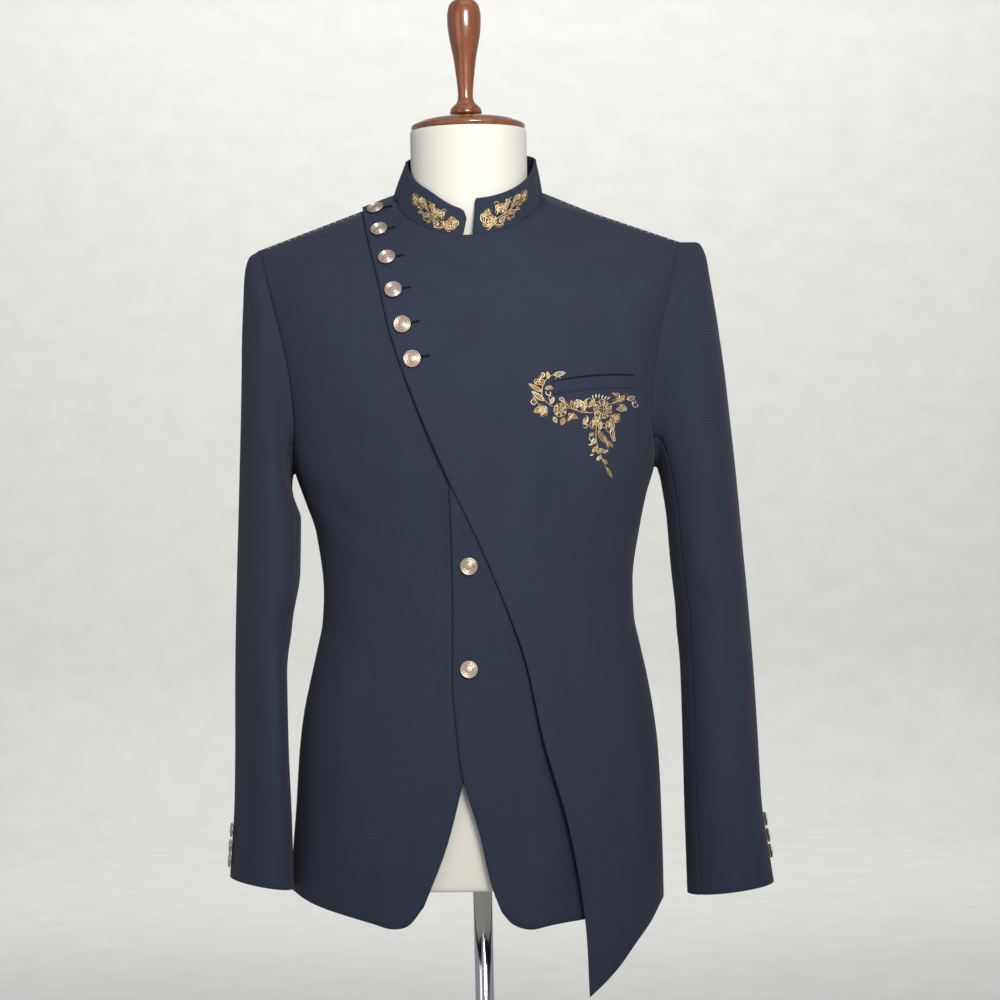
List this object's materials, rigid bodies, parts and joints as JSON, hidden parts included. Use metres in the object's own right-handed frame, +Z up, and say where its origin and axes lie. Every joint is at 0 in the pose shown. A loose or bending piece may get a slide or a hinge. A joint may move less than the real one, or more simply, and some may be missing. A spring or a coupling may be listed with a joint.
{
  "type": "bandhgala jacket on a limbless dress form",
  "caption": "Asymmetric bandhgala jacket with a stand collar and a diagonal buttoned overlap, worn by a limbless dress form on a pole and round foot.",
  "frame": {"origin": "middle of the foot plate's flat underside, on the floor", "axes": "+Z up along the pole, -Y is the jacket's front, +X is the wearer's left"},
  "size_m": [0.5701, 0.33, 1.6616],
  "materials": {
    "suiting": "matt woven",
    "button_metal": "antique, dull gloss",
    "form_cover": "smooth matt",
    "lacquered_wood": "gloss lacquer",
    "chrome": "mirror"
  },
  "bodies": {
    "root": {"right_front": "suiting", "left_under_front": "suiting", "left_front_overlap": "suiting", "right_side_panel": "suiting", "left_side_panel": "suiting", "right_back": "suiting", "left_back": "suiting", "collar_band": "suiting", "right_top_sleeve": "suiting", "right_under_sleeve": "suiting", "left_top_sleeve": "suiting", "left_under_sleeve": "suiting", "chest_welt": "suiting", "button_placket_1": "button_metal", "button_placket_2": "button_metal", "button_placket_3": "button_metal", "button_placket_4": "button_metal", "button_placket_5": "button_metal", "button_placket_6": "button_metal", "button_front_1": "button_metal", "button_front_2": "button_metal", "button_cuff_right_1": "button_metal", "button_cuff_right_2": "button_metal", "button_cuff_right_3": "button_metal", "button_cuff_left_1": "button_metal", "button_cuff_left_2": "button_metal", "button_cuff_left_3": "button_metal", "form_torso": "form_cover", "neck_cap": "lacquered_wood", "finial": "lacquered_wood", "pole": "chrome", "stand_base": "chrome"}
  },
  "joints": []
}
